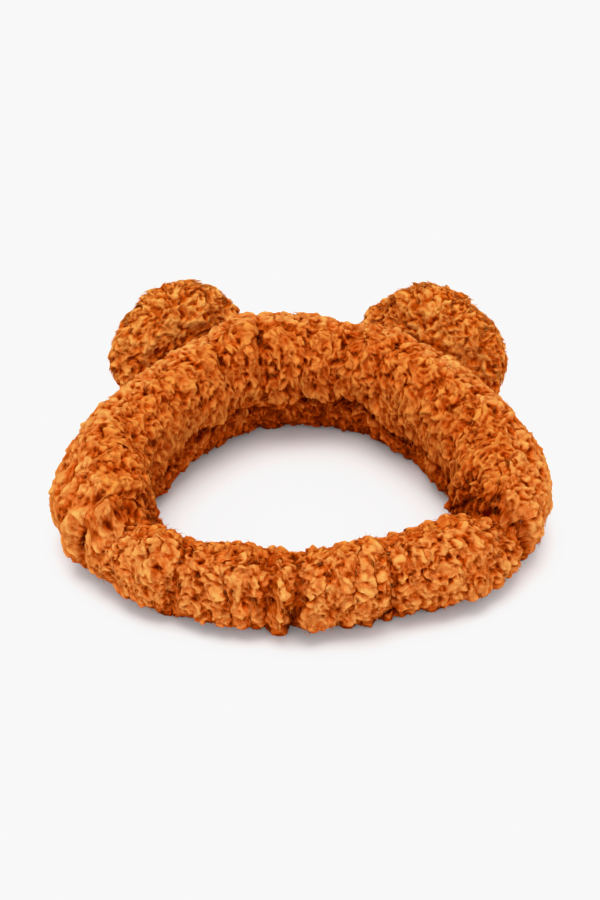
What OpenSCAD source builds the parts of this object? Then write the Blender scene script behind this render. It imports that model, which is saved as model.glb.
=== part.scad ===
// Stretchy fleece headband with two round padded ears.
// The band is a stuffed tube at the forehead and a gathered casing over elastic
// at the back.  It stands on its lower edge: +Z is up, +X is the wearer's right
// and +Y is towards the forehead, where the ears are sewn on.  The origin is the
// middle of the head opening, on the plane that the band stands on.

/* [Loop] */
// Distance from the loop's centre line at the forehead to the one at the back
loop_depth = 143; // [138:1:150]
// Plan radius of the forehead bend
forehead_r = 70; // [66:1:76]
// Plan radius of the long temple bend
temple_r = 185; // [160:5:210]
// Plan radius of the tight bend at each side
side_r = 45; // [42:1:48]
// Heading at which the forehead bend ends
forehead_end = 39; // [36:1:42]
// Heading at which the temple bend ends
temple_end = 59; // [57:1:62]
// Heading at which the side bend ends
side_end = 156; // [152:1:160]

/* [Band] */
// Height of the stuffed tube at the forehead
forehead_h = 61; // [56:1:66]
// Height of the stuffed tube at its ends
tube_end_h = 51; // [48:1:54]
// Height of the gathered casing
casing_h = 43; // [40:1:46]
// Thickness of the stuffed tube at the forehead
forehead_t = 40; // [36:1:44]
// Thickness of the stuffed tube behind the ears
ear_seat_t = 35; // [32:1:38]
// Thickness of the tube at the sides
side_t = 44; // [40:1:48]
// Thickness of the gathered casing at the back
casing_t = 28; // [26:1:32]
// Thickness of the fleece with its pile, round the wadding
fleece_t = 5; // [4:0.5:6]
// Thickness of the gathered fleece, round the elastic
gathered_t = 9; // [8:0.5:10]
// Heading of the seams between the stuffed tube and the casing
side_seam_at = 122; // [116:1:128]
// Flat that the lower edge presses on the table, as a cut into the tube
rest_cut = 1.2; // [0.8:0.1:2]

/* [Elastic] */
// Width of the elastic strip
elastic_w = 22; // [18:1:25]
// Thickness of the elastic strip
elastic_t = 1.6; // [1:0.2:2]

/* [Ears] */
// Radius of each round ear
ear_r = 38; // [34:1:40]
// Thickness of each ear at its middle
ear_t = 22; // [18:1:24]
// Depth of the ear below the middle of its round outline
ear_below = 5; // [2:1:10]
// Heading of the loop at which each ear is sewn on
ear_at = 37; // [33:1:41]
// Height of the sewn line above the table
ear_seat_z = 27; // [24:1:30]
// Angle by which the ears lean back from upright
ear_lean = 20; // [16:1:30]
// Thickness of the fleece on the ears
ear_fleece_t = 4; // [3:0.5:5]

/* [Sewing] */
// Diameter of the sewing thread loops
thread_d = 1.2; // [0.8:0.1:1.6]
// Length of each stitch along the ear's base
stitch_l = 5; // [4:0.5:6]
// Number of stitches along each ear's base
stitches = 7; // [5:1:8]
// Depth at which seams lie under the pile
seam_sink = 1.5; // [1:0.25:2.5]

/* [Hidden] */

rust = [0.78, 0.38, 0.10];
rust_dark = [0.62, 0.27, 0.06];
wadding_white = [0.93, 0.92, 0.89];
elastic_white = [0.88, 0.88, 0.86];
thread_rust = [0.55, 0.24, 0.06];

squareness = 2.3;
ring_step = 4;
section_step = 17.2;
seam_half = 4;
seam_width = 3.5;
seam_slab = 2;
joint_gap = 0.6;
wadding_gap = 0.4;
ear_gap = 0.3;
ear_seam_half = 0.8;
$fn = 64;

// ---- Centre line: tangent arcs, told by the heading of their outward normal ----

function unit(heading) = [sin(heading), cos(heading)];

back_r = (forehead_r * sin(forehead_end)
    + temple_r * (sin(temple_end) - sin(forehead_end))
    + side_r * (sin(side_end) - sin(temple_end))) / sin(side_end);

// Each centre lies on the normal through the point where two arcs meet
forehead_c = [0, loop_depth / 2 - forehead_r];
temple_c = forehead_c + (forehead_r - temple_r) * unit(forehead_end);
side_c = temple_c + (temple_r - side_r) * unit(temple_end);
back_c = side_c + (side_r - back_r) * unit(side_end);

// Radius and centre of the arc at a heading from 0 to 180
function arc_at(heading) =
    heading <= forehead_end ? [forehead_r, forehead_c]
    : heading <= temple_end ? [temple_r, temple_c]
    : heading <= side_end ? [side_r, side_c]
    : [back_r, back_c];

function half_point(heading) = let (arc = arc_at(heading)) arc[1] + arc[0] * unit(heading);

function mirrored(p) = [-p[0], p[1]];

// The loop is the same on both sides, so a heading folds to 0 to 180
function folded(heading) = abs(heading > 180 ? heading - 360 : heading);

function loop_point(heading) =
    (heading < 0 || heading > 180) ? mirrored(half_point(folded(heading))) : half_point(heading);

// ---- Section of the band: a rounded oval with its foot cut flat ----

function ramp(x, from, to) = let (t = min(1, max(0, (x - from) / (to - from)))) t * t * (3 - 2 * t);

function mix(a, b, t) = a + (b - a) * t;

function band_h(heading) =
    let (f = folded(heading))
    f > side_seam_at ? casing_h : mix(forehead_h, tube_end_h, ramp(f, 30, side_seam_at));

function band_t(heading) =
    let (f = folded(heading),
         front = mix(forehead_t, ear_seat_t, ramp(f, 8, 30)),
         side = mix(front, side_t, ramp(f, 48, 85)))
    mix(side, casing_t, ramp(f, 105, 170));

function rounded(x) = sign(x) * pow(abs(x), 2 / squareness);

// Point of the section at an angle, inset from the surface, as [outward, up]
function skin(heading, angle, inset) =
    let (h = band_h(heading) / 2,
         outward = (band_t(heading) / 2 - inset) * rounded(cos(angle)),
         up = (h - inset) * rounded(sin(angle)),
         z = up + h - rest_cut)
    [outward, inset > 0 ? max(inset, z) : z];

function place(heading, p) =
    let (c = loop_point(heading) + p[0] * unit(heading)) [c[0], c[1], p[1]];

function angles(from, to) =
    let (n = ceil((to - from) / section_step)) [for (i = [0:n]) from + (to - from) * i / n];

// A section is two rows of as many points, which bound it on either side
function shell_rows(heading, from, to, inset, depth) = [
    [for (a = angles(from, to)) skin(heading, a, inset)],
    [for (a = angles(from, to)) skin(heading, a, depth)]
];

function core_rows(heading, inset) = [
    [for (a = angles(seam_half - 90, 90 - seam_half)) skin(heading, a, inset)],
    [for (a = angles(seam_half - 90, 90 - seam_half)) skin(heading, 180 - a, inset)]
];

function strip_rows(heading, width, thick, middle) = [
    [[thick / 2, middle - width / 2], [thick / 2, middle + width / 2]],
    [[-thick / 2, middle - width / 2], [-thick / 2, middle + width / 2]]
];

// Solid through the sections from one heading to another
module swept(rows_at, from, to) {
    rings = max(1, ceil((to - from) / ring_step));
    k = len(rows_at(from)[0]);
    around = concat([for (i = [0:k - 1]) i], [for (i = [k - 1:-1:0]) k + i]);
    points = [
        for (j = [0:rings])
            let (heading = from + (to - from) * j / rings, rows = rows_at(heading))
            for (row = rows) for (p = row) place(heading, p)
    ];
    side_faces = [
        for (j = [0:rings - 1]) for (i = [0:2 * k - 1])
            let (p = 2 * k * j + around[i], q = 2 * k * j + around[(i + 1) % (2 * k)])
            for (face = [[p, p + 2 * k, q + 2 * k], [p, q + 2 * k, q]]) face
    ];
    first_cap = [
        for (i = [0:k - 2]) for (face = [[i, i + 1, k + i + 1], [i, k + i + 1, k + i]]) face
    ];
    last = 2 * k * rings;
    last_cap = [for (face = first_cap) [for (i = [2:-1:0]) face[i] + last]];
    polyhedron(points = points, faces = concat(side_faces, first_cap, last_cap), convexity = 6);
}

// Cuts the foot flat at the table
module stood() {
    difference() {
        children();
        translate([0, 0, -loop_depth]) cube(2 * loop_depth, center = true);
    }
}

tube_end = side_seam_at - seam_slab;
casing_from = side_seam_at + joint_gap;
casing_to = 360 - casing_from;

module front_tube(rows_at) {
    swept(rows_at, -tube_end, tube_end);
}

module casing(rows_at) {
    swept(rows_at, casing_from, casing_to);
}

// ---- Stuffed tube ----

module front_outer_panel() {
    color(rust) stood()
        front_tube(function (h) shell_rows(h, seam_half - 90, 90 - seam_half, 0, fleece_t));
}

module front_lining_panel() {
    color(rust_dark) stood()
        front_tube(function (h) shell_rows(h, 90 + seam_half, 270 - seam_half, 0, fleece_t));
}

module front_wadding() {
    color(wadding_white) front_tube(function (h) core_rows(h, fleece_t + wadding_gap));
}

module front_top_seam() {
    color(thread_rust)
        front_tube(function (h) shell_rows(h, 90 - seam_width, 90 + seam_width, seam_sink, fleece_t));
}

module front_bottom_seam() {
    color(thread_rust)
        front_tube(function (h) shell_rows(h, 270 - seam_width, 270 + seam_width, seam_sink, fleece_t));
}

module side_seam(from) {
    color(thread_rust) swept(function (h) core_rows(h, seam_sink), from, from + seam_slab);
}

module left_side_seam() {
    side_seam(-side_seam_at);
}

module right_side_seam() {
    side_seam(tube_end);
}

// ---- Gathered casing over the elastic ----

module back_outer_panel() {
    color(rust) stood()
        casing(function (h) shell_rows(h, seam_half - 90, 90 - seam_half, 0, gathered_t));
}

module back_lining_panel() {
    color(rust_dark) stood()
        casing(function (h) shell_rows(h, 90 + seam_half, 270 - seam_half, 0, gathered_t));
}

module back_top_seam() {
    color(thread_rust)
        casing(function (h) shell_rows(h, 90 - seam_width, 90 + seam_width, seam_sink, gathered_t));
}

module back_bottom_seam() {
    color(thread_rust)
        casing(function (h) shell_rows(h, 270 - seam_width, 270 + seam_width, seam_sink, gathered_t));
}

module elastic_strip() {
    color(elastic_white)
        casing(function (h) strip_rows(h, elastic_w, elastic_t, casing_h / 2));
}

// The two ends of the casing meet in an allowance between its outer panel and the elastic
module centre_back_seam() {
    allowance_t = 1.8;
    allowance_w = 18;
    half_span = 2.4;
    outward = elastic_t / 2 + 0.2 + allowance_t / 2;
    color(thread_rust)
        swept(function (h) [for (row = strip_rows(h, allowance_w, allowance_t, casing_h / 2))
            [for (p = row) p + [outward, 0]]], 180 - half_span, 180 + half_span);
}

// ---- Ears: each is made about its sewn line, with x along the band, y outward and z up ----

function cushion(radius, half) = [
    for (a = [0:10:90])
        [radius * pow(cos(a), 0.62), ear_seam_half + (half - ear_seam_half) * pow(sin(a), 0.9)]
];

function reversed(list) = [for (i = [len(list) - 1:-1:0]) list[i]];

// Turns an outline in [radius, outward] about the middle of the round ear, and cuts its base
module turned_ear() {
    middle_y = thread_d / 2 + 0.15 + ear_t / 2;
    difference() {
        translate([0, middle_y, ear_below]) rotate([-90, 0, 0]) rotate_extrude() children();
        translate([0, middle_y, -ear_r]) cube([3 * ear_r, 2 * ear_t, 2 * ear_r], center = true);
    }
}

module ear_panel(facing) {
    outer = cushion(ear_r, ear_t / 2);
    inner = cushion(ear_r - ear_fleece_t, ear_t / 2 - ear_fleece_t);
    turned_ear() polygon([for (p = concat(outer, reversed(inner))) [p[0], facing * p[1]]]);
}

module ear_front_panel() {
    color(rust) ear_panel(-1);
}

module ear_back_panel() {
    color(rust) ear_panel(1);
}

module ear_wadding() {
    half = cushion(ear_r - ear_fleece_t, ear_t / 2 - ear_fleece_t);
    color(wadding_white)
        turned_ear() polygon(concat(half, [for (p = reversed(half)) [p[0], -p[1]]]));
}

module ear_edge_seam() {
    inner = ear_r - ear_fleece_t;
    color(thread_rust)
        turned_ear() translate([inner, -ear_seam_half]) square([ear_fleece_t - seam_sink, 2 * ear_seam_half]);
}

module ear_base_stitches() {
    pitch = 1.3 * ear_r / stitches;
    color(thread_rust)
        for (i = [0:stitches - 1])
            translate([(i - (stitches - 1) / 2) * pitch, 0, 0])
                rotate([0, 90, 0]) cylinder(d = thread_d, h = stitch_l, center = true);
}

ear_hinge_out = band_t(ear_at) / 2 + ear_gap + thread_d / 2;
ear_hinge = place(ear_at, [ear_hinge_out, ear_seat_z]);

module on_right() {
    translate(ear_hinge) rotate([0, 0, -ear_at]) rotate([-ear_lean, 0, 0]) children();
}

module on_left() {
    mirror([1, 0, 0]) on_right() children();
}

module left_ear_front_panel() { on_left() ear_front_panel(); }
module left_ear_back_panel() { on_left() ear_back_panel(); }
module left_ear_wadding() { on_left() ear_wadding(); }
module left_ear_edge_seam() { on_left() ear_edge_seam(); }
module left_ear_base_stitches() { on_left() ear_base_stitches(); }
module right_ear_front_panel() { on_right() ear_front_panel(); }
module right_ear_back_panel() { on_right() ear_back_panel(); }
module right_ear_wadding() { on_right() ear_wadding(); }
module right_ear_edge_seam() { on_right() ear_edge_seam(); }
module right_ear_base_stitches() { on_right() ear_base_stitches(); }

front_outer_panel();
front_lining_panel();
front_wadding();
front_top_seam();
front_bottom_seam();
left_side_seam();
right_side_seam();
back_outer_panel();
back_lining_panel();
elastic_strip();
back_top_seam();
back_bottom_seam();
centre_back_seam();
left_ear_front_panel();
left_ear_back_panel();
left_ear_wadding();
left_ear_edge_seam();
left_ear_base_stitches();
right_ear_front_panel();
right_ear_back_panel();
right_ear_wadding();
right_ear_edge_seam();
right_ear_base_stitches();
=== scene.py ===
"""A rust-orange teddy-fleece headband with two round bear ears, standing on its lower edge.

The band is a stuffed tube at the forehead (+Y) and a gathered casing over elastic at the back (-Y).
Shapes are worked out in millimetres and made into meshes in metres, in the CAD's own frame.
"""

import math

import bpy
import numpy as np
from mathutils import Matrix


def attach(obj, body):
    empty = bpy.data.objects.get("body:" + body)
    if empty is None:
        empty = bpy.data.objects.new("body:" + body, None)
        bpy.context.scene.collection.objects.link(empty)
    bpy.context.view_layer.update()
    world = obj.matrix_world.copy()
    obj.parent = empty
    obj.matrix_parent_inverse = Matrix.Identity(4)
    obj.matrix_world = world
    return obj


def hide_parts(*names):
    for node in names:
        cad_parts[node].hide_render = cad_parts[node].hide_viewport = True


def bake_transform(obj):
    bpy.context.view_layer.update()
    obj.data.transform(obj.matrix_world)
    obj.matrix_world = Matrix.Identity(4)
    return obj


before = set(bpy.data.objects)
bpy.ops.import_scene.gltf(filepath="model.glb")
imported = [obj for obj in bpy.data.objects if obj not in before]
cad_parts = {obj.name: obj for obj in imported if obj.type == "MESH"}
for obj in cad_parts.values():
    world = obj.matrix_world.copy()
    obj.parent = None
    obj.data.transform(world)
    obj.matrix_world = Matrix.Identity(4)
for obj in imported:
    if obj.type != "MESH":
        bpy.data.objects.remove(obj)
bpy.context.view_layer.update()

MM = 0.001

# ---------------------------------------------------------------- the CAD's driving sizes, in millimetres

LOOP_DEPTH = 143.0
ARC_RADII = [70.0, 185.0, 45.0]
ARC_ENDS = [0.0, 39.0, 59.0, 156.0, 180.0]
FOREHEAD_H, TUBE_END_H, CASING_H = 61.0, 51.0, 43.0
FOREHEAD_T, EAR_SEAT_T, SIDE_T, CASING_T = 40.0, 35.0, 44.0, 28.0
SIDE_SEAM_AT = 122.0
SQUARENESS = 2.3
REST_CUT = 1.2
ELASTIC_W, ELASTIC_T = 22.0, 1.6
EAR_R, EAR_T, EAR_BELOW, EAR_LEAN, EAR_AT, EAR_SEAT_Z = 38.0, 22.0, 5.0, 20.0, 37.0, 27.0

# The fleece's cloth without its pile, and the side seams' place in from the tube's ends
CLOTH_T = 4.0
SEAM_INSET = 1.5

# ---------------------------------------------------------------- seeded noise


def hashed(ix, iy, iz, seed):
    """A number from 0 to 1 for each lattice point."""
    h = (ix.astype(np.uint32) * np.uint32(374761393)) ^ (iy.astype(np.uint32) * np.uint32(668265263))
    h = h ^ (iz.astype(np.uint32) * np.uint32(2147483647)) ^ np.uint32(seed * 9781 + 12345)
    h = (h ^ (h >> np.uint32(13))) * np.uint32(1274126177)
    h = (h ^ (h >> np.uint32(16))) * np.uint32(2246822519)
    h = h ^ (h >> np.uint32(15))
    return (h & np.uint32(0xFFFFFF)).astype(np.float32) / float(0xFFFFFF)


def noise(points, size, seed):
    """Smooth noise from -1 to 1 with features about size across."""
    q = points / size
    cell = np.floor(q).astype(np.int64)
    f = (q - cell).astype(np.float32)
    f = f * f * (3 - 2 * f)
    total = 0.0
    for corner in np.ndindex(2, 2, 2):
        weight = np.prod([f[:, k] if corner[k] else 1 - f[:, k] for k in range(3)], axis=0)
        total = total + weight * hashed(*(cell[:, k] + corner[k] for k in range(3)), seed)
    return total * 2 - 1


def noise_vector(points, size, seed):
    return np.stack([noise(points, size, seed + k) for k in range(3)], axis=1)


def tangential(vectors, normals):
    v = vectors - (vectors * normals).sum(axis=1, keepdims=True) * normals
    return v / np.maximum(np.linalg.norm(v, axis=1, keepdims=True), 1e-6)


def locks(points, normals, flow, size, wild, seed):
    """The highest of the overlapping locks of pile at each point.

    Each lock is a curved, tapered tongue that rises from its root to its tip. Gives its height, the way it
    points, and where the point lies on it: along from -1 to 1, across in lock widths, and its own number.
    """
    cell = np.floor(points / size).astype(np.int64)
    n = len(points)
    best = np.full(n, -9.0, np.float32)
    toward = np.zeros((n, 3), np.float32)
    where = np.zeros((n, 3), np.float32)
    swirl = noise_vector(points, size * 4, seed + 90) * wild
    for step in np.ndindex(3, 3, 3):
        c = [cell[:, k] + step[k] - 1 for k in range(3)]
        own = [hashed(*c, seed + 7 * k) for k in range(8)]
        middle = np.stack([c[k] + own[k] for k in range(3)], axis=1) * size
        jolt = np.stack(own[3:6], axis=1) * 2 - 1
        way = tangential(flow + swirl + jolt * wild * 0.8, normals)
        d = points - middle
        off = (d * normals).sum(axis=1)
        d = d - off[:, None] * normals
        a = (d * way).sum(axis=1)
        b = (d * np.cross(normals, way)).sum(axis=1)
        a = a / (size * (0.75 + 0.25 * own[7]))
        b = b + size * (0.5 * (own[6] - 0.5) * a * a + 0.13 * np.sin(4.5 * a + 6 * own[3]))
        b = b / (size * (0.42 + 0.2 * own[6]) * (1.0 - 0.25 * np.clip(a, -1, 1)))
        height = 1.1 * (own[7] - 0.5) - 0.5 * np.abs(off) / size + 0.16 * a - 0.95 * b * b - 0.55 * a * a
        height = height - 5 * np.clip(a - 0.6, 0, 1) ** 2 - 5 * np.clip(-0.6 - a, 0, 1) ** 2
        higher = height > best
        best = np.where(higher, height, best)
        toward[higher] = way[higher]
        where[higher] = np.stack([a, b, own[4] * 40], axis=1)[higher]
    return best, toward, where


# ---------------------------------------------------------------- the loop's centre line and section


def ramp(x, start, end):
    t = np.clip((x - start) / (end - start), 0, 1)
    return t * t * (3 - 2 * t)


def mix(a, b, t):
    return a + (b - a) * t


def bump(x, middle, width):
    return np.exp(-(((x - middle) / width) ** 2))


def unit(heading):
    h = np.radians(heading)
    return np.stack([np.sin(h), np.cos(h)], axis=-1)


def loop_arcs():
    """Radius and centre of each of the half loop's tangent arcs."""
    s = [math.sin(math.radians(h)) for h in ARC_ENDS]
    back_r = sum(r * (s[i + 1] - s[i]) for i, r in enumerate(ARC_RADII)) / s[3]
    radii = ARC_RADII + [back_r]
    centres = [np.array([0.0, LOOP_DEPTH / 2 - radii[0]])]
    for i in range(3):
        centres.append(centres[i] + (radii[i] - radii[i + 1]) * unit(ARC_ENDS[i + 1]))
    return radii, centres


RADII, CENTRES = loop_arcs()
ARC_STARTS = np.concatenate([[0], np.cumsum(np.array(RADII) * np.radians(np.diff(ARC_ENDS)))])
HALF_LOOP = float(ARC_STARTS[-1])


def heading_at(s):
    """Heading of the outward normal at a distance along the loop from the forehead's middle."""
    s = np.mod(s, 2 * HALF_LOOP)
    half = np.where(s > HALF_LOOP, 2 * HALF_LOOP - s, s)
    heading = np.interp(half, ARC_STARTS, ARC_ENDS)
    return np.where(s > HALF_LOOP, 360 - heading, heading)


def distance_at(heading):
    """Distance along the loop to a heading from 0 to 180."""
    return float(np.interp(heading, ARC_ENDS, ARC_STARTS))


def folded(heading):
    return np.where(heading > 180, 360 - heading, heading)


def loop_point(heading):
    f = folded(heading)
    arc = np.clip(np.searchsorted(ARC_ENDS[1:], f, side="left"), 0, 3)
    p = np.array(CENTRES)[arc] + np.array(RADII)[arc][..., None] * unit(f)
    p[..., 0] = np.where(heading > 180, -p[..., 0], p[..., 0])
    return p


def band_h(f):
    front = mix(FOREHEAD_H, TUBE_END_H, ramp(f, 30, SIDE_SEAM_AT))
    return mix(front, CASING_H, ramp(f, SIDE_SEAM_AT - 3, SIDE_SEAM_AT + 4))


def band_t(f):
    front = mix(FOREHEAD_T, EAR_SEAT_T, ramp(f, 8, 30))
    side = mix(front, SIDE_T, ramp(f, 48, 85))
    return mix(side, CASING_T, ramp(f, 105, 170))


def rounded(x):
    return np.sign(x) * np.abs(x) ** (2 / SQUARENESS)


def even_angles(n, start, end):
    """Angles that lie evenly round a usual section, from start to end in degrees."""
    fine = np.linspace(start, end, 2000)
    a = np.radians(fine)
    p = np.stack([SIDE_T / 2 * rounded(np.cos(a)), TUBE_END_H / 2 * rounded(np.sin(a))], axis=1)
    run = np.concatenate([[0], np.cumsum(np.hypot(*np.diff(p, axis=0).T))])
    return np.interp(np.linspace(0, run[-1], n), run, fine)


# Each table below is a list of smooth bumps, as [place, amount, width].
# Folds that the gathers press into the casing's outer face, by distance from the middle of the back
PINCHES = [
    [-17.5, 6.4, 2.8],
    [-11.5, -2.6, 3.2],
    [-6.0, 7.6, 2.9],
    [-38.0, -1.8, 4.5],
    [34.0, 2.6, 2.8],
    [-58.0, 2.4, 2.6],
]
# Folds across the top of the forehead, where the wadding is bunched, by distance from its middle
FOREHEAD_FOLDS = [
    [-21.0, 4.2, 2.4],
    [-27.0, -1.6, 4.0],
    [7.0, 2.0, 2.2],
    [27.0, 2.2, 2.6],
    [-46.0, 1.8, 2.6],
    [52.0, 2.0, 2.6],
]
# Dips in the band's height: by heading each side of the forehead, by distance from its middle,
# and by distance from the middle of the back
SEAM_DIP, FOREHEAD_DIP = [131, 4.5, 9], [20, 6.0, 9]
BACK_DIPS = [[-9, 4.5, 15], [-50, 5.0, 18]]
# Height of the roll's edge above the middle of the band: inside at the forehead and at the sides,
# and outside at the back
INNER_CREASE, OUTER_CREASE = (0.5, -5.0), -7.5
# How far each face bulges past its plain section, by heading. The casing's also go by distance from
# the middle of the back
OUTER_BULGES = [
    [54, 2.5, 8],
    [95, 1.2, 16],
    [140, -1.8, 12],
    [222, -1.8, 12],
    [258, -1.5, 8],
    [284, 2.4, 7],
    [306, 3.0, 6],
]
INNER_BULGES = [[114, -6.0, 12], [254, 2.0, 8]]
BACK_BULGES = [[-32.0, -1.8, 12], [45.0, -2.0, 12], [-4.0, 2.2, 9]]
# How much fuller the band is than its plain section at each of these headings, and at the left by a bump
FULLNESS_HEADINGS = [0, 30, 58, 76, 92, 108, 134, 150, 180]
FULLNESS = [0.9, 0.6, -1.4, -1.6, 0.2, -1.8, -2.4, 0.0, 0.6]
LEFT_FULLNESS = [262, 1.4, 9]
# How far the band's section tips outwards at the sides
LEAN = math.radians(4.5)


def bumps(at, *table):
    """The sum of a table's bumps at each place."""
    return sum(amount * bump(at, middle, width) for middle, amount, width in table)


def creased(level, edge, deep, proud, shy):
    """How far the face stands out: a proud roll above the edge, a deep crease, then a shy lower layer."""
    roll = proud * ramp(level, edge - 0.5, edge + 3) * (1 - 0.8 * ramp(level, edge + 8, edge + 30))
    return roll - deep * bump(level, edge - 2.2, 3.2) - shy * (1 - ramp(level, edge - 2, edge + 2))


def hanging(level, edge, drop):
    """How far the roll's lip hangs down over the crease."""
    return drop * bump(level, edge + 2.6, 3.6)


def roll_and_creases(f, level, wander, inner, outer):
    """How far each face stands out at the roll and the creases, and how far the roll's lip hangs."""
    in_front = inner * (1 - ramp(f, 100, 124))
    at_back = outer * ramp(f, 126, 146)
    aside = ramp(f, 22, 66)
    edge = mix(INNER_CREASE[0], INNER_CREASE[1], aside) + wander
    back_edge = OUTER_CREASE + 0.6 * wander
    proud = in_front * creased(level, edge, 5.0, mix(2.5, 1.0, aside), mix(2.6, -3.4, aside))
    proud = proud + at_back * creased(level, back_edge, 5.0, 1.6, 2.4)
    lip = in_front * hanging(level, edge, 3.4) + at_back * hanging(level, back_edge, 2.6)
    return proud, lip


def gathers(along, a):
    """Small uneven gathers across the band, from about -0.45 to 0.55."""
    phase = along / 1.75 + 2.4 * np.sin(along / 9.0) + 1.5 * np.sin(a * 2 + along / 23.0)
    return np.sqrt(0.5 + 0.5 * np.sin(phase)) * (0.6 + 0.4 * np.sin(a * 3 + along / 13.0)) - 0.45


def band_grid(s, angle, inset=0.0):
    """Points of the band at each distance along it and each section angle, inset from the surface."""
    heading = heading_at(s)
    f = folded(heading)[:, None]
    a = np.radians(angle)[None, :]
    along = np.where(s > HALF_LOOP, s - 2 * HALF_LOOP, s)[:, None]
    side = np.sign(along)
    x_back = side * (HALF_LOOP - np.abs(along))
    at_back = ramp(f, 126, 146)
    inner = np.clip(-np.cos(a) * 3, 0, 1)
    outer = np.clip(np.cos(a) * 3, 0, 1)
    height = band_h(f) - bumps(f, SEAM_DIP) - bumps(along, FOREHEAD_DIP)
    height = height - bumps(x_back, *BACK_DIPS) * at_back
    level = np.sin(a) * height / 2
    wander = 2.2 * np.sin(along / 15.0) + 1.4 * np.sin(along / 6.6 + 1)
    proud, lip = roll_and_creases(f, level, wander, inner, outer)
    proud = proud + outer * (bumps(heading[:, None], *OUTER_BULGES) + bumps(x_back, *BACK_BULGES) * at_back)
    proud = proud + inner * bumps(heading[:, None], *INNER_BULGES)
    proud = proud + (1.0 + 1.6 * ramp(f, 60, 95)) * gathers(along, a)
    groove = bumps(x_back - 1.5 * np.sin(2 * a), *PINCHES) * at_back
    groove = groove + 4.6 * bump(f - side * 5 * np.sin(a), SIDE_SEAM_AT - 1, 3.0)
    crosswise = bumps(along - 5 * np.cos(a), *FOREHEAD_FOLDS) * np.clip(np.sin(a) + 0.3, 0, 1)
    size = np.interp(f, FULLNESS_HEADINGS, FULLNESS) + bumps(heading[:, None], LEFT_FULLNESS)
    outward = (band_t(f) / 2 + size - inset) * rounded(np.cos(a)) + np.clip(np.cos(a) * 3, -1, 1) * proud
    outward = outward - (groove * (np.cos(a) > 0) + 0.6 * crosswise) * rounded(np.cos(a))
    top = height / 2 + 0.5 * size - inset - 0.5 * groove * (np.sin(a) > 0) - crosswise
    up = top * rounded(np.sin(a)) - lip
    lean = LEAN * ramp(f, 45, 90) * (1 - ramp(f, 130, 160))
    outward, up = outward * np.cos(lean) + up * np.sin(lean), up * np.cos(lean) - outward * np.sin(lean)
    centre = loop_point(heading)
    n = unit(heading)
    points = np.empty(outward.shape + (3,))
    points[..., 0] = centre[:, None, 0] + n[:, None, 0] * outward
    points[..., 1] = centre[:, None, 1] + n[:, None, 1] * outward
    points[..., 2] = np.maximum(up + height / 2 - REST_CUT, inset)
    return points


def grid_normals(points):
    along = np.gradient(points, axis=0)
    across = np.gradient(points, axis=1)
    n = np.cross(across, along)
    return n / np.maximum(np.linalg.norm(n, axis=2, keepdims=True), 1e-9)


# ---------------------------------------------------------------- fleece pile

# Sizes of the pile's locks and of the small ones on top of them
LOCK, SMALL_LOCK = 3.7, 1.9
# Stray fibres: their radius, the height that they start at, and how many there are to a millimetre
# of a band panel and on each face of an ear
FIBRE_R, FIBRES_ABOVE = 0.19, 10
BAND_FIBRES, EAR_FIBRES = 6.8, 1100


def softened(grid, keep=0.55):
    """Evens a grid out between neighbours, all but its outermost rows."""
    near = (grid[:-2, 1:-1] + grid[2:, 1:-1] + grid[1:-1, :-2] + grid[1:-1, 2:]) / 4
    even = grid.copy()
    even[1:-1, 1:-1] = keep * grid[1:-1, 1:-1] + (1 - keep) * near
    return even


def pile(grid, normals, flow, seed=5):
    """Raises a clumpy pile on a surface.

    Gives its points, how high each one stands, its place on its lock, and the way that its lock points.
    """
    shape = grid.shape
    p = grid.reshape(-1, 3).astype(np.float32)
    n = normals.reshape(-1, 3).astype(np.float32)
    lumps = noise(p, 27, seed) * 1.8 + noise(p, 13, seed + 1) * 1.8 + noise(p, 6.5, seed + 3) * 1.1
    warped = p + noise_vector(p, 5.0, seed + 2) * 1.5 + noise_vector(p, 1.9, seed + 5) * 0.6
    big, way, place = locks(warped, n, flow, LOCK, 0.8, seed + 10)
    small, small_way, _ = locks(warped + 40, n, way, SMALL_LOCK, 1.0, seed + 20)
    big = np.maximum(big, -2.0)
    small = np.maximum(small, -1.6)
    height = 0.9 + 1.7 * big + 0.9 * small + noise(p, 1.3, seed + 40) * 0.4
    rise = np.clip(height + 2.0, 0, 4)
    shift = way * (0.22 * rise)[:, None] + small_way * (0.25 * (small + 1))[:, None]
    moved = p + n * (height + lumps)[:, None] + shift
    moved[:, 2] = np.maximum(moved[:, 2], 0.1 * np.clip(height + 1.5, 0, 2))
    moved = softened(moved.reshape(shape))
    return moved, height.reshape(shape[:2]), place.reshape(shape), way.reshape(shape)


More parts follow.
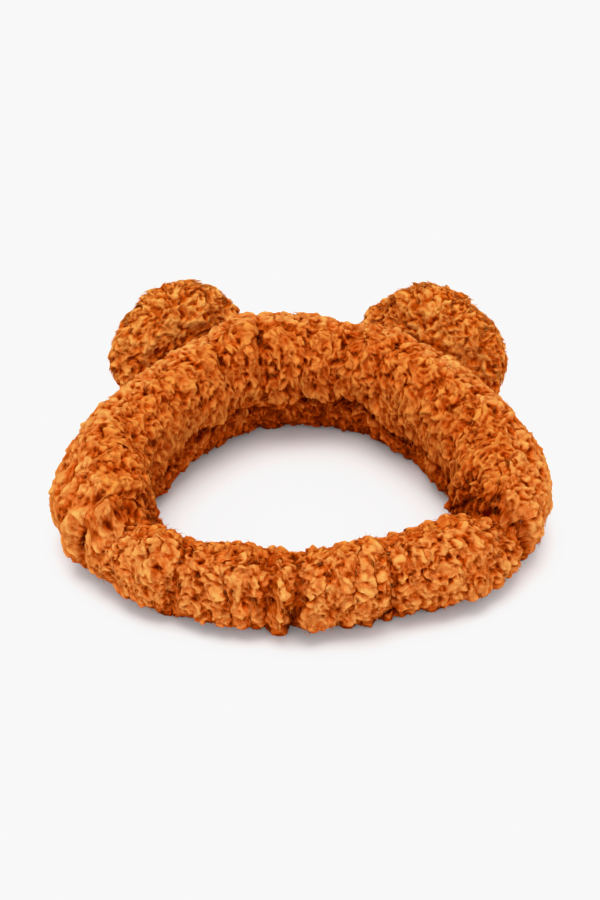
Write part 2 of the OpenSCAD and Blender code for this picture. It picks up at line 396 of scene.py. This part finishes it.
def wisps(surface, normals, ways, count, seed):
    """Stray fibres that stand off the pile: thin closed three-sided tongues, each bent over its own way."""
    rng = np.random.default_rng(seed)
    p, n, way = (g.reshape(-1, 3) for g in (surface, normals, ways))
    free = np.flatnonzero(p[:, 2] > FIBRES_ABOVE)
    pick = free[rng.integers(0, len(free), count)]
    p, n, way = p[pick, None], n[pick, None], way[pick, None]
    side = np.cross(n, way)
    long = rng.uniform(1.6, 3.8, (count, 1, 1))
    lift = rng.uniform(0.15, 0.95, (count, 1, 1))
    bend = rng.uniform(-0.7, 0.7, (count, 1, 1))
    t = np.linspace(0, 1, 4)[None, :, None]
    path = p - 0.5 * n + long * (t * (way + lift * n) + bend * t * t * side - 0.45 * lift * t * t * n)
    turn = np.radians([90, 210, 330])[None, None, :, None]
    ring = np.cos(turn) * side[:, :, None] + np.sin(turn) * n[:, :, None]
    verts = path[:, :, None] + (FIBRE_R * (1 - 0.62 * t))[..., None] * ring
    first = 12 * np.arange(count)[:, None, None]
    corners = [(3 * i + j, 3 * i + (j + 1) % 3) for i in range(3) for j in range(3)]
    face = [[a, b, b + 3, a + 3] for a, b in corners]
    faces = (np.array(face)[None] + first).reshape(-1, 4).tolist()
    ends = np.array([[2, 1, 0], [9, 10, 11]])[None] + first
    # Each fibre's height rises along it, so its colour lightens to a painted highlight at its free end.
    heights = np.broadcast_to(np.repeat(np.linspace(0.2, 2.4, 4), 3), (count, 12))
    return verts.reshape(-1, 3), faces + ends.reshape(-1, 3).tolist(), heights.ravel()


# ---------------------------------------------------------------- meshes


def grid_faces(ni, nj, start, flip):
    i, j = np.meshgrid(np.arange(ni - 1), np.arange(nj - 1), indexing="ij")
    a = start + i * nj + j
    quad = np.stack([a, a + 1, a + nj + 1, a + nj], axis=-1).reshape(-1, 4)
    return quad[:, ::-1] if flip else quad


def wall_faces(first, second):
    return np.stack([first[:-1], first[1:], second[1:], second[:-1]], axis=1)


def shell_mesh(name, outer, inner, heights, place, stray):
    """A closed sheet of fleece between an outer grid and an inner one, and its stray fibres.

    The two grids have as many rows. Each vertex keeps its height in the pile and its place on its lock.
    """
    (ni, nj, _), (_, mj, _) = outer.shape, inner.shape
    base = ni * nj
    stray_verts, stray_faces, stray_heights = stray
    verts = np.concatenate([outer.reshape(-1, 3), inner.reshape(-1, 3), stray_verts]) * MM
    o = np.arange(base).reshape(ni, nj)
    k = base + np.arange(ni * mj).reshape(ni, mj)
    quads = [
        grid_faces(ni, nj, 0, False),
        grid_faces(ni, mj, base, True),
        wall_faces(k[:, 0], o[:, 0]),
        wall_faces(o[:, -1], k[:, -1]),
    ]
    faces = [q.tolist() for q in quads]
    if nj == mj:
        faces += [wall_faces(o[0], k[0]).tolist(), wall_faces(k[-1], o[-1]).tolist()]
    else:
        faces += [[o[0].tolist() + k[0][::-1].tolist()], [o[-1][::-1].tolist() + k[-1].tolist()]]
    first = base + ni * mj
    faces.append([[first + i for i in face] for face in stray_faces])
    mesh = bpy.data.meshes.new(name)
    mesh.from_pydata(verts.tolist(), [], [f for part in faces for f in part])
    mesh.polygons.foreach_set("use_smooth", np.ones(len(mesh.polygons), bool))
    # The pile's height steers painted shade and painted highlight in the fleece's colour; the inner sheet
    # is set low, so it takes the dark end of that colour.
    store(mesh, "pile_height", np.concatenate([heights.ravel(), np.full(ni * mj, -2.0), stray_heights]))
    store(mesh, "pile_place", np.concatenate([place.reshape(-1, 3), np.zeros((ni * mj, 3)), stray_verts]))
    mark_rims(mesh, np.concatenate([o[:, 0], o[:, -1], o[0], o[-1]]))
    return new_object(name, mesh)


def store(mesh, name, values):
    """Keeps a number or a vector at each vertex, for the material to read."""
    kind, field = ("FLOAT", "value") if values.ndim == 1 else ("FLOAT_VECTOR", "vector")
    attribute = mesh.attributes.new(name, kind, "POINT")
    attribute.data.foreach_set(field, values.astype(np.float32).ravel())


def mark_rims(mesh, rim):
    """The edges along a sheet's rim stay sharp, so that its pile is shaded right up to the seam."""
    on_rim = np.zeros(len(mesh.vertices), bool)
    on_rim[rim] = True
    ends = np.empty(len(mesh.edges) * 2, np.int32)
    mesh.edges.foreach_get("vertices", ends)
    ends = ends.reshape(-1, 2)
    sharp = mesh.attributes.new("sharp_edge", "BOOLEAN", "EDGE")
    sharp.data.foreach_set("value", on_rim[ends].all(axis=1))


def new_object(name, mesh):
    mesh.validate()
    piece = bpy.data.objects.new(name, mesh)
    bpy.context.scene.collection.objects.link(piece)
    return piece


# ---------------------------------------------------------------- materials


def linear(*srgb):
    """A linear colour for the shader from red, green and blue as seen on a screen."""
    return tuple(((c + 0.055) / 1.055) ** 2.4 if c > 0.04045 else c / 12.92 for c in srgb) + (1.0,)


class Nodes:
    """Short calls for a material's node tree."""

    def __init__(self, name):
        self.material = bpy.data.materials.new(name)
        self.material.use_nodes = True
        self.tree = self.material.node_tree
        self.shader = self.tree.nodes["Principled BSDF"]

    def add(self, kind, inputs=None, **settings):
        node = self.tree.nodes.new(kind)
        for key, value in settings.items():
            setattr(node, key, value)
        for key, value in (inputs or {}).items():
            if isinstance(value, bpy.types.NodeSocket):
                self.tree.links.new(value, node.inputs[key])
            else:
                node.inputs[key].default_value = value
        return node

    def link(self, socket, name):
        self.tree.links.new(socket, self.shader.inputs[name])

    def bump(self, **inputs):
        self.link(self.add("ShaderNodeBump", inputs).outputs["Normal"], "Normal")

    def plus(self, value, share, rest):
        """A share of the value, added to the rest."""
        sums = self.add("ShaderNodeMath", {0: value, 1: share, 2: rest}, operation="MULTIPLY_ADD")
        return sums.outputs[0]

    def finish(self, **inputs):
        """Sets the shader's plain inputs, given by name with _ for a space, and gives the material."""
        for name, value in inputs.items():
            self.shader.inputs[name.replace("_", " ")].default_value = value
        return self.material

    def ramp(self, value, stops):
        node = self.add("ShaderNodeValToRGB", {"Fac": value})
        while len(node.color_ramp.elements) < len(stops):
            node.color_ramp.elements.new(0.5)
        for element, (place, colour) in zip(node.color_ramp.elements, stops):
            element.position = place
            element.color = colour
        return node.outputs["Color"]


def fleece_material(name, painted_highlight, middle, deep, cavity):
    """Teddy fleece: locks of fine strands, with a painted highlight where the pile stands highest and
    painted shade, darker and redder, where it lies low and down in the gaps.

    The cavity is how far, in metres, the ambient occlusion looks for what shades a gap; that shade is
    painted into the base colour.
    """
    m = Nodes(name)
    place = m.add("ShaderNodeTexCoord").outputs["Object"]
    height = m.add("ShaderNodeAttribute", attribute_name="pile_height").outputs["Fac"]
    on_lock = m.add("ShaderNodeAttribute", attribute_name="pile_place").outputs["Vector"]
    patch = m.add("ShaderNodeTexNoise", {"Vector": place, "Scale": 110.0, "Detail": 3.0}).outputs["Fac"]
    drawn_out = m.add("ShaderNodeMapping", {"Vector": on_lock, "Scale": (0.9, 4.5, 1.0)})
    strands = {"Vector": drawn_out.outputs["Vector"], "Scale": 1.0, "Detail": 3.0, "Roughness": 0.65}
    strand = m.add("ShaderNodeTexNoise", strands).outputs["Fac"]
    fibres = {"Vector": place, "Scale": 1000.0, "Detail": 3.0, "Roughness": 0.75}
    fuzz = m.add("ShaderNodeTexNoise", fibres).outputs["Fac"]
    # The pile's height paints the colour: painted shade where it lies low, painted highlight where it
    # stands high.
    level = m.add("ShaderNodeMapRange", {"Value": height, "From Min": -2.6, "From Max": 2.2})
    varied = m.plus(patch, 0.35, level.outputs["Result"])
    lined = m.plus(strand, 0.8, varied)
    # Ambient occlusion pulls the colour towards the deep one: painted shade in creases and gaps.
    ao_painted_shade = m.add("ShaderNodeAmbientOcclusion", {"Distance": cavity}, samples=8).outputs["AO"]
    with_painted_shade = m.plus(ao_painted_shade, 0.95, lined)
    centred = m.add("ShaderNodeMath", {0: with_painted_shade, 1: 1.36}, operation="SUBTRACT")
    # The deep colour is painted shade and the lightest one a painted highlight; the noise of patches and
    # strands is the fleece's own.
    m.link(m.ramp(centred.outputs[0], [(0.04, deep), (0.44, middle), (1.0, painted_highlight)]), "Base Color")
    lines = m.add("ShaderNodeBump", {"Height": strand, "Strength": 0.8, "Distance": 0.0011})
    m.bump(Height=fuzz, Normal=lines.outputs["Normal"], Strength=0.8, Distance=0.0009)
    return m.finish(
        Roughness=0.9,
        Specular_IOR_Level=0.0,
        Subsurface_Weight=0.12,
        Subsurface_Scale=0.001,
        Subsurface_Radius=(2.0, 0.7, 0.25),
        Sheen_Weight=0.3,
        Sheen_Roughness=0.4,
        Sheen_Tint=linear(1.0, 0.56, 0.12),
    )


def floor_material():
    return Nodes("pale_floor").finish(
        Base_Color=(0.94, 0.94, 0.94, 1), Roughness=0.9, Specular_IOR_Level=0.0
    )


def thread_material():
    m = Nodes("rust_thread")
    place = m.add("ShaderNodeTexCoord").outputs["Object"]
    twist = m.add("ShaderNodeTexNoise", {"Vector": place, "Scale": 2500.0, "Detail": 2.0}).outputs["Fac"]
    m.link(m.ramp(twist, [(0.3, linear(0.42, 0.16, 0.03)), (0.7, linear(0.72, 0.34, 0.1))]), "Base Color")
    m.bump(Height=twist, Strength=0.5, Distance=0.0002)
    return m.finish(Roughness=0.6)


def wadding_material():
    m = Nodes("white_wadding")
    place = m.add("ShaderNodeTexCoord").outputs["Object"]
    clouds = {"Vector": place, "Scale": 260.0, "Detail": 6.0, "Distortion": 1.2}
    fluff = m.add("ShaderNodeTexNoise", clouds).outputs["Fac"]
    m.link(m.ramp(fluff, [(0.3, linear(0.80, 0.79, 0.76)), (0.65, linear(0.97, 0.96, 0.94))]), "Base Color")
    m.bump(Height=fluff, Strength=0.8, Distance=0.0012)
    return m.finish(Roughness=0.95, Specular_IOR_Level=0.1)


def elastic_material():
    m = Nodes("woven_elastic")
    place = m.add("ShaderNodeTexCoord").outputs["Object"]
    waves = {"Vector": place, "Scale": 260.0, "Distortion": 1.5, "Detail": 2.0}
    weave = m.add("ShaderNodeTexWave", waves, bands_direction="X").outputs["Fac"]
    m.link(m.ramp(weave, [(0.1, linear(0.74, 0.74, 0.72)), (0.8, linear(0.93, 0.93, 0.91))]), "Base Color")
    m.bump(Height=weave, Strength=0.5, Distance=0.0003)
    return m.finish(Roughness=0.7)


# In each copy of the fleece the lightest colour is a painted highlight and the deep colour painted shade;
# the middle colour is the fleece's own.
FLEECE = fleece_material(
    "rust_fleece",
    painted_highlight=linear(0.97, 0.66, 0.34),
    middle=linear(0.82, 0.30, 0.0),
    deep=linear(0.36, 0.0, 0.0),
    cavity=0.02,
)
# The lining's copy of the fleece is darker all through, with a longer reach for its ambient occlusion:
# painted shade on the band's inner face.
SHADED_LINING_FLEECE = fleece_material(
    "rust_lining_fleece",
    painted_highlight=linear(0.94, 0.59, 0.26),
    middle=linear(0.79, 0.27, 0.0),
    deep=linear(0.34, 0.0, 0.0),
    cavity=0.035,
)
# The ears' copy of the fleece is lighter all through, with a shorter reach for its ambient occlusion:
# painted light on the ears' upright faces, which catch less of the overhead light.
LIGHTENED_EAR_FLEECE = fleece_material(
    "ear_fleece",
    painted_highlight=linear(0.99, 0.69, 0.34),
    middle=linear(0.88, 0.355, 0.0),
    deep=linear(0.50, 0.03, 0.0),
    cavity=0.012,
)
THREAD = thread_material()
WADDING = wadding_material()
ELASTIC = elastic_material()

# ---------------------------------------------------------------- the band's fleece

# Size of the pile's mesh, and the length of one panel's half section
STEP, HALF_SECTION = 0.6, 76
# Rows of a panel's grid that lie past its edges while its pile is raised
MARGIN = 4
SEAM_S = distance_at(SIDE_SEAM_AT)
LOOP = 2 * HALF_LOOP
LINING_ROWS = 9


def on_band(piece, slot, *nodes):
    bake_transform(piece)
    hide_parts(*nodes)


def widened(values, margin=MARGIN):
    """The values with a few more at either end, so that slopes at the ends are true."""
    first, last = values[1] - values[0], values[-1] - values[-2]
    before = values[0] - first * np.arange(margin, 0, -1)
    after = values[-1] + last * np.arange(1, margin + 1)
    return np.concatenate([before, values, after])


def band_panel(name, slot, s_from, s_to, a_from, a_to):
    s = np.linspace(s_from, s_to, int(round((s_to - s_from) / STEP)))
    angle = even_angles(int(round(HALF_SECTION / STEP)), a_from, a_to)
    base = band_grid(widened(s), widened(angle))
    normals = grid_normals(base)
    own = slice(MARGIN, -MARGIN)
    outer, heights, place, way = (g[own, own] for g in pile(base, normals, np.array([0, 0, -1.0])))
    stray = wisps(outer, normals[own, own], way, int(BAND_FIBRES * (s_to - s_from)), seed=len(name))
    stray[0][:, 2] = np.maximum(stray[0][:, 2], 0.2)
    inner = band_grid(s, even_angles(LINING_ROWS, a_from, a_to), inset=CLOTH_T)
    piece = shell_mesh(name, outer, inner, heights, place, stray)
    # The lining panels take the darker copy of the fleece, painted shade on the band's inner face.
    piece.data.materials.append(SHADED_LINING_FLEECE if "lining" in name else FLEECE)
    on_band(piece, slot, name.replace("fleece", "panel"))


band_panel("front_outer_fleece", "fleece", -SEAM_S, SEAM_S, -90, 90)
band_panel("front_lining_fleece", "lining_fleece", -SEAM_S, SEAM_S, 90, 270)
band_panel("back_outer_fleece", "fleece", SEAM_S, LOOP - SEAM_S, -90, 90)
band_panel("back_lining_fleece", "lining_fleece", SEAM_S, LOOP - SEAM_S, 90, 270)

# ---------------------------------------------------------------- what lies inside the band

SEAM_PITCH = 4.2


def tube_mesh(rings):
    """A skin round rings of points, an array of ring by side by 3, capped at both ends."""
    n, k, _ = rings.shape
    ids = np.arange(n * k).reshape(n, k)
    ids = np.concatenate([ids, ids[:, :1]], axis=1)
    quads = np.stack([ids[:-1, :-1], ids[:-1, 1:], ids[1:, 1:], ids[1:, :-1]], axis=-1)
    caps = [ids[0, -2::-1].tolist(), ids[-1, :-1].tolist()]
    return np.concatenate(rings) * MM, quads.reshape(-1, 4).tolist() + caps


def join_meshes(name, parts):
    verts, faces, start = [], [], 0
    for points, part in parts:
        verts.append(points)
        faces += [[start + i for i in face] for face in part]
        start += len(points)
    mesh = bpy.data.meshes.new(name)
    mesh.from_pydata(np.concatenate(verts).tolist(), [], faces)
    mesh.polygons.foreach_set("use_smooth", np.ones(len(mesh.polygons), bool))
    return new_object(name, mesh)


def cord_rings(path, radius, sides=8, ply=0.25):
    """Rings round a path, ribbed like twisted thread."""
    tangent = np.gradient(path, axis=0)
    tangent /= np.linalg.norm(tangent, axis=1, keepdims=True)
    helper = np.where(np.abs(tangent[:, 2:]) < 0.8, [[0, 0, 1.0]], [[1.0, 0, 0]])
    across = np.cross(tangent, helper)
    across /= np.linalg.norm(across, axis=1, keepdims=True)
    over = np.cross(across, tangent)
    turn = np.linspace(0, 2 * math.pi, sides, endpoint=False)[None, :]
    run = np.arange(len(path))[:, None]
    r = radius * (1 - ply * (0.5 + 0.5 * np.cos(2 * turn + run * 0.9)))
    aside, above = (r * np.cos(turn))[..., None], (r * np.sin(turn))[..., None]
    return path[:, None] + aside * across[:, None] + above * over[:, None]


def stitch_row(path, pitch, gap=0.28, radius=0.6):
    """A row of short thread loops along a path of closely spaced points."""
    run = np.concatenate([[0], np.cumsum(np.linalg.norm(np.diff(path, axis=0), axis=1))])
    parts = []
    for k in range(max(1, int(run[-1] / pitch))):
        at = np.linspace((k + gap / 2) * pitch, (k + 1 - gap / 2) * pitch, 8)
        core = np.stack([np.interp(at, run, path[:, i]) for i in range(3)], axis=1)
        parts.append(tube_mesh(cord_rings(core, radius)))
    return parts


def thread_piece(name, parts):
    piece = join_meshes(name, parts)
    piece.data.materials.append(THREAD)
    return piece


def seam_path(s, angle):
    """Points just inside the cloth, at pairs of a distance along the band and a section angle."""
    points = [band_grid(np.array([v]), np.array([w]), CLOTH_T + 0.9) for v, w in zip(s, angle)]
    return np.concatenate(points)[:, 0]


def long_seam(name, s_from, s_to, angle):
    s = np.arange(s_from + 3, s_to - 3, 1.0)
    path = seam_path(s, np.full(len(s), angle))
    on_band(thread_piece(name + "_thread", stitch_row(path, SEAM_PITCH)), "thread", name)


def side_seam(name, s):
    ring = seam_path(np.full(120, s), np.linspace(-90, 270, 120))
    on_band(thread_piece(name + "_thread", stitch_row(ring, SEAM_PITCH)), "thread", name)


long_seam("front_top_seam", -SEAM_S, SEAM_S, 90)
long_seam("front_bottom_seam", -SEAM_S, SEAM_S, -90)
long_seam("back_top_seam", SEAM_S, LOOP - SEAM_S, 90)
long_seam("back_bottom_seam", SEAM_S, LOOP - SEAM_S, -90)

side_seam("right_side_seam", SEAM_S - SEAM_INSET)
side_seam("left_side_seam", SEAM_INSET - SEAM_S)


def front_wadding():
    inset = CLOTH_T + 2.6
    s = np.linspace(-SEAM_S + 6, SEAM_S - 6, 170)
    rings = band_grid(s, even_angles(64, -90, 270)[:-1], inset)
    rings = rings + (noise_vector(rings.reshape(-1, 3), 9.0, 71) * 0.8).reshape(rings.shape)
    rings[..., 2] = np.maximum(rings[..., 2], inset)
    piece = join_meshes("front_filling", [tube_mesh(rings)])
    piece.data.materials.append(WADDING)
    on_band(piece, "wadding", "front_wadding")


def strip_rings(s, half_w, half_t, middle, ribs):
    """Rings of a flat strip that follows the loop on edge, with its weave's ribs along it."""
    columns = 25
    across = np.linspace(-half_w, half_w, columns)
    up = np.concatenate([across, across[::-1]])
    out = np.repeat([half_t, -half_t], columns)
    out = out * (1 + ribs * np.cos(up * math.pi / (half_w / 6)))
    heading = heading_at(s)
    n = unit(heading)
    centre = loop_point(heading)
    rings = np.empty((len(s), 2 * columns, 3))
    rings[..., 0] = centre[:, None, 0] + n[:, None, 0] * out[None]
    rings[..., 1] = centre[:, None, 1] + n[:, None, 1] * out[None]
    rings[..., 2] = middle + up[None]
    return rings


def elastic_band():
    s = np.linspace(SEAM_S + 2, LOOP - SEAM_S - 2, 190)
    rings = strip_rings(s, ELASTIC_W / 2, ELASTIC_T / 2, CASING_H / 2, ribs=0.3)
    piece = join_meshes("elastic_band", [tube_mesh(rings)])
    piece.data.materials.append(ELASTIC)
    on_band(piece, "elastic", "elastic_strip")


def centre_back_seam():
    y = float(loop_point(np.array([180.0]))[0, 1]) - 2.4
    path = np.stack([np.zeros(30), np.full(30, y), np.linspace(12, 31, 30)], axis=1)
    piece = thread_piece("centre_back_seam_thread", stitch_row(path, 3.8))
    on_band(piece, "thread", "centre_back_seam")


front_wadding()
elastic_band()
centre_back_seam()

# ---------------------------------------------------------------- ears, made about their sewing line

SEAT = loop_point(np.array([EAR_AT]))[0] + (EAR_SEAT_T / 2 + 0.9) * unit(EAR_AT)
HINGE = np.append(SEAT, EAR_SEAT_Z)
EAR_MIDDLE_Y, EAR_MIDDLE_Z = 0.75 + EAR_T / 2, 14.0
# How much wider each ear is than the CAD's, and how far outwards along its sewing line it sits
RIGHT_EAR, LEFT_EAR = (1.09, 7.0), (1.04, -3.6)


def ear_to_world(points, side):
    """Moves points of the right ear (side 1) to where it is sewn on, or mirrors them to the left (-1)."""
    lean, turn = math.radians(-EAR_LEAN), math.radians(-EAR_AT)
    x, y, z = points[..., 0], points[..., 1], points[..., 2]
    wider, outwards = RIGHT_EAR if side > 0 else LEFT_EAR
    x = x * wider + outwards
    y, z = y * math.cos(lean) - z * math.sin(lean), y * math.sin(lean) + z * math.cos(lean)
    x, y = x * math.cos(turn) - y * math.sin(turn), x * math.sin(turn) + y * math.cos(turn)
    out = np.stack([x, y, z], axis=-1) + HINGE
    out[..., 0] *= side
    return out


def ear_outline(direction):
    """Distance from the ear's middle to its D-shaped edge, in a direction in radians from +x."""
    x, z = np.cos(direction), np.sin(direction)
    corner = 2.5
    drop = EAR_MIDDLE_Z - EAR_BELOW
    round_r = -drop * z + np.sqrt(EAR_R**2 - (drop * x) ** 2)
    base_r = (EAR_MIDDLE_Z - 0.5) / np.maximum(-z, 1e-3)
    return -np.log(np.exp(-round_r / corner) + np.exp(-base_r / corner)) * corner


def ear_mid_plane(z):
    """How far from the hinge the middle of the ear's thickness lies at a height. It runs in at the base."""
    return mix(4.5, EAR_MIDDLE_Y, ramp(z, -2, 16))


def ear_surface(u, v, facing, inset=0.0):
    """The cushion's face over a square grid from -1 to 1, pulled in at its edge and towards its base."""
    x = u * np.sqrt(1 - v * v / 2)
    z = v * np.sqrt(1 - u * u / 2)
    q = np.clip(np.hypot(x, z), 0, 1)
    direction = np.arctan2(z, x)
    run = np.sin(q * math.pi / 2) * (ear_outline(direction) - inset)
    rim = 0.2
    half = rim + (EAR_T / 2 - rim - inset) * np.cos(q * math.pi / 2) ** 0.8
    px = run * np.cos(direction)
    pz = EAR_MIDDLE_Z + run * np.sin(direction)
    half = half * mix(0.55, 1.0, ramp(pz, -4, 14))
    return np.stack([px, ear_mid_plane(pz) + facing * half, pz], axis=-1)


def ear_panel(side, facing):
    name = ("right" if side > 0 else "left") + ("_ear_back" if facing > 0 else "_ear_front")
    n = 150
    t = np.linspace(-1, 1, n)
    u, v = np.meshgrid(t, t, indexing="ij")
    base = ear_surface(u, v, facing)
    normals = grid_normals(base) * -1
    if (normals[n // 2, n // 2, 1] > 0) != (facing > 0):
        normals = -normals
    outward = np.stack([base[..., 0], np.zeros((n, n)), base[..., 2] - EAR_MIDDLE_Z], axis=-1)
    outward /= np.maximum(np.linalg.norm(outward, axis=-1, keepdims=True), 1e-3)
    # Near the rim both faces turn outwards, so their piles meet there
    edge = np.maximum(np.abs(u), np.abs(v))[..., None] ** 8
    normals = normals * (1 - edge) + outward * edge
    normals /= np.linalg.norm(normals, axis=-1, keepdims=True)
    flow = tangential((outward * 0.6 + [0, 0, -0.4]).reshape(-1, 3), normals.reshape(-1, 3))
    outer, heights, place, way = pile(base, normals, flow, seed=31 if side > 0 else 61)
    stray, stray_faces, stray_heights = wisps(outer, normals, way, EAR_FIBRES, seed=side + facing * 3 + 9)
    if side < 0:
        stray_faces = [face[::-1] for face in stray_faces]
    stray = (ear_to_world(stray, side), stray_faces, stray_heights)
    lining_t = np.linspace(-1, 1, 24)
    lu, lv = np.meshgrid(t, lining_t, indexing="ij")
    inner = ear_surface(lu, lv, facing, inset=3.0)
    if facing > 0:
        outer, heights, inner, place = (g[:, ::-1] for g in (outer, heights, inner, place))
    if side < 0:
        outer, heights, inner, place = (g[::-1] for g in (outer, heights, inner, place))
    outer, inner = ear_to_world(outer, side), ear_to_world(inner, side)
    piece = shell_mesh(name + "_fleece", outer, inner, heights, place, stray)
    piece.data.materials.append(LIGHTENED_EAR_FLEECE)
    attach(piece, name.split("_ear")[0] + "_ear")
    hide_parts(name + "_panel")


def ear_insides(side):
    body = ("right" if side > 0 else "left") + "_ear"
    n = 60
    t = np.linspace(-1, 1, n)
    u, v = np.meshgrid(t, t, indexing="ij")
    faces = []
    for facing in (-1, 1):
        grid = ear_surface(u, v, facing, inset=4.2)
        grid += (noise_vector(grid.reshape(-1, 3), 8.0, 77) * 0.5).reshape(grid.shape)
        faces.append(grid)
    verts = np.concatenate([ear_to_world(g, side).reshape(-1, 3) for g in faces]) * MM
    front = grid_faces(n, n, 0, side > 0).tolist()
    back = grid_faces(n, n, n * n, side < 0).tolist()
    ids = np.arange(n * n).reshape(n, n)
    rim = np.concatenate([ids[:, 0], ids[-1, 1:], ids[::-1, -1][1:], ids[0, ::-1][1:]])
    wall = wall_faces(rim, rim + n * n)
    wall = (wall[:, ::-1] if side < 0 else wall).tolist()
    fill = join_meshes(body + "_filling", [(verts, front + back + wall)])
    fill.data.materials.append(WADDING)
    turn = np.radians(np.linspace(-22, 202, 160))
    reach = ear_outline(turn) - 3.4
    pz = EAR_MIDDLE_Z + reach * np.sin(turn)
    rim_path = np.stack([reach * np.cos(turn), ear_mid_plane(pz), pz], axis=1)
    edge = thread_piece(body + "_edge_thread", stitch_row(ear_to_world(rim_path, side), 4.0))
    base_path = np.stack([np.linspace(-27, 22, 60), np.full(60, 0.3), np.full(60, 0.6)], axis=1)
    stitches = thread_piece(body + "_base_thread", stitch_row(ear_to_world(base_path, side), 8.5, 0.4))
    for piece, slot, node in (
        (fill, "wadding", "_wadding"),
        (edge, "thread", "_edge_seam"),
        (stitches, "thread", "_base_stitches"),
    ):
        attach(piece, body)
        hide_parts(body + node)


for side in (1, -1):
    for facing in (-1, 1):
        ear_panel(side, facing)
    ear_insides(side)

# ---------------------------------------------------------------- camera, floor and light

VIEW_ELEVATION = math.radians(41.96)
VIEW_YAW = math.radians(-1.67)
VIEW_DISTANCE = 1.025
VIEW_TARGET = np.array([-0.001, 0.0146, 0.027])
LENS = 86.1
SKY_STRENGTH = 1.15
SUN_STRENGTH, SUN_SPREAD = 1.45, math.radians(36)
SUN_TURN = (math.radians(1), math.radians(-4), 0)


def make_camera():
    back = np.array(
        [
            math.sin(VIEW_YAW) * math.cos(VIEW_ELEVATION),
            -math.cos(VIEW_YAW) * math.cos(VIEW_ELEVATION),
            math.sin(VIEW_ELEVATION),
        ]
    )
    data = bpy.data.cameras.new("camera")
    data.lens = LENS
    data.sensor_width = 36
    data.clip_start, data.clip_end = 0.05, 50
    camera = bpy.data.objects.new("camera", data)
    bpy.context.scene.collection.objects.link(camera)
    camera.location = VIEW_TARGET + back * VIEW_DISTANCE
    camera.rotation_euler = (math.pi / 2 - VIEW_ELEVATION, 0, VIEW_YAW)
    bpy.context.scene.camera = camera


def make_floor():
    mesh = bpy.data.meshes.new("floor")
    half = 12.0
    corners = [(-half, -half, 0), (half, -half, 0), (half, half, 0), (-half, half, 0)]
    mesh.from_pydata(corners, [], [(0, 1, 2, 3)])
    mesh.materials.append(floor_material())
    new_object("floor", mesh)


def make_light():
    world = bpy.data.worlds.new("studio")
    world.use_nodes = True
    world.node_tree.nodes["Background"].inputs["Color"].default_value = (1, 1, 1, 1)
    world.node_tree.nodes["Background"].inputs["Strength"].default_value = SKY_STRENGTH
    bpy.context.scene.world = world
    data = bpy.data.lights.new("softbox", "SUN")
    data.energy = SUN_STRENGTH
    data.angle = SUN_SPREAD
    sun = bpy.data.objects.new("softbox", data)
    bpy.context.scene.collection.objects.link(sun)
    sun.rotation_euler = SUN_TURN
    soften_whites(bpy.context.scene.view_settings)


def soften_whites(view):
    """The brightest whites roll off to a very pale grey, as on a well-lit studio sweep."""
    view.view_transform = "Standard"
    view.use_curve_mapping = True
    mapping = view.curve_mapping
    mapping.clip_max_x = 2.0
    curve = mapping.curves[3].points
    curve[0].location = (0, 0)
    curve[1].location = (2.0, 0.94)
    for x, y in ((0.75, 0.75), (1.0, 0.915), (1.2, 0.94)):
        curve.new(x, y)
    for point in curve:
        point.handle_type = "VECTOR"
    mapping.update()


make_camera()
make_floor()
make_light()
